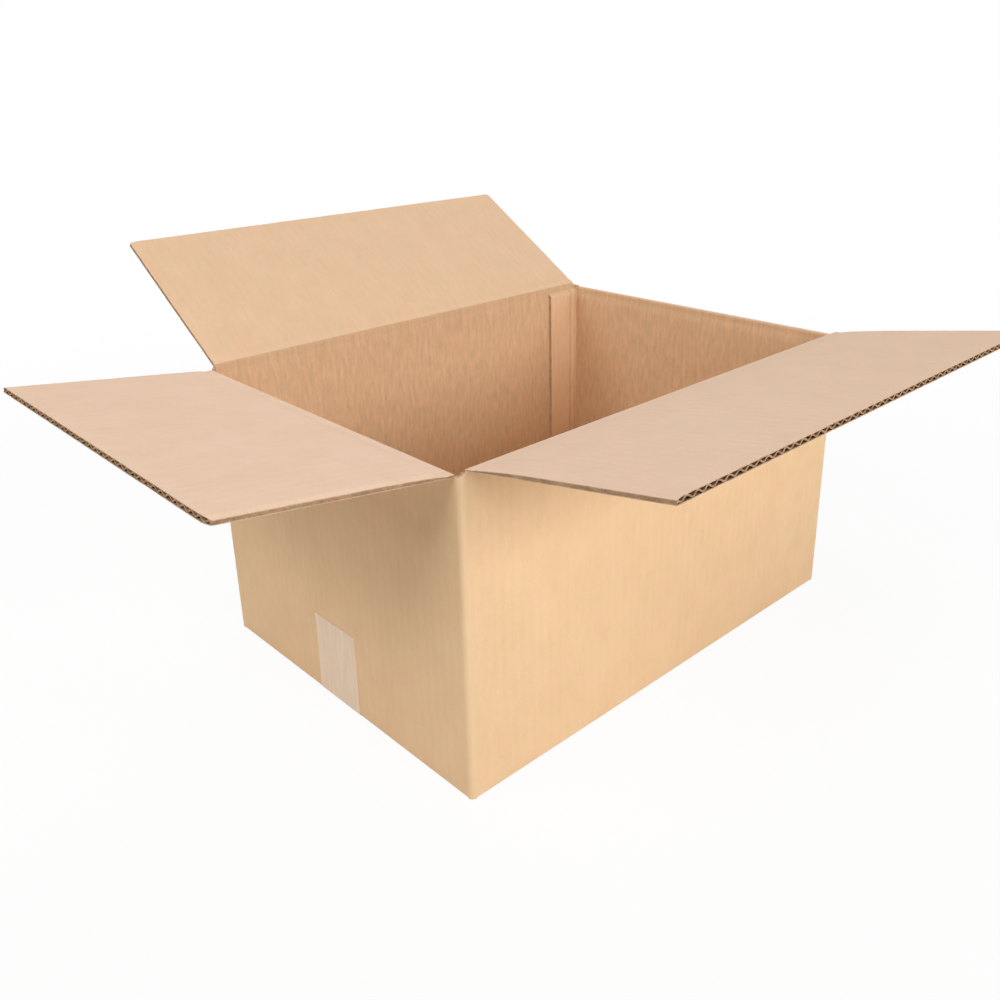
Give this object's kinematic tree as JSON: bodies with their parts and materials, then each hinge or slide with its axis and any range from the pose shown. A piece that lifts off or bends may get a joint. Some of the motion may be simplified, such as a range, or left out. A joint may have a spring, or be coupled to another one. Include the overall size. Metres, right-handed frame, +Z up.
{
  "type": "open cardboard box",
  "caption": "Rectangular corrugated shipping carton, bottom closed and taped along its seam, with hinged top flaps standing open.",
  "frame": {"origin": "middle of the underside of the carton, on the taped seam that it stands on", "axes": "+X along the long walls, +Y along the short walls towards the back wall with the glue tab, +Z up"},
  "size_m": [0.6712, 0.5558, 0.3031],
  "materials": {
    "wall_board": "matte",
    "flap_board": "matte",
    "tape": "satin"
  },
  "bodies": {
    "carton": {"carton_body": "wall_board", "seam_tape": "tape"},
    "front_flap_body": {"front_flap": "flap_board"},
    "back_flap_body": {"back_flap": "flap_board"},
    "left_flap_body": {"left_flap": "flap_board"},
    "right_flap_body": {"right_flap": "flap_board"}
  },
  "joints": [
    {"name": "front_fold", "type": "hinge", "parent": "carton", "child": "front_flap_body", "pos_m": [0, -0.14515, 0.223], "axis": [-1, 0, 0], "range_deg": [-100, 170]},
    {"name": "back_fold", "type": "hinge", "parent": "carton", "child": "back_flap_body", "pos_m": [0, 0.14515, 0.223], "axis": [1, 0, 0], "range_deg": [-122, 148]},
    {"name": "left_fold", "type": "hinge", "parent": "carton", "child": "left_flap_body", "pos_m": [-0.20015, 0, 0.219], "axis": [0, 1, 0], "range_deg": [-98, 172]},
    {"name": "right_fold", "type": "hinge", "parent": "carton", "child": "right_flap_body", "pos_m": [0.20015, 0, 0.219], "axis": [0, -1, 0], "range_deg": [-60, 210]}
  ]
}
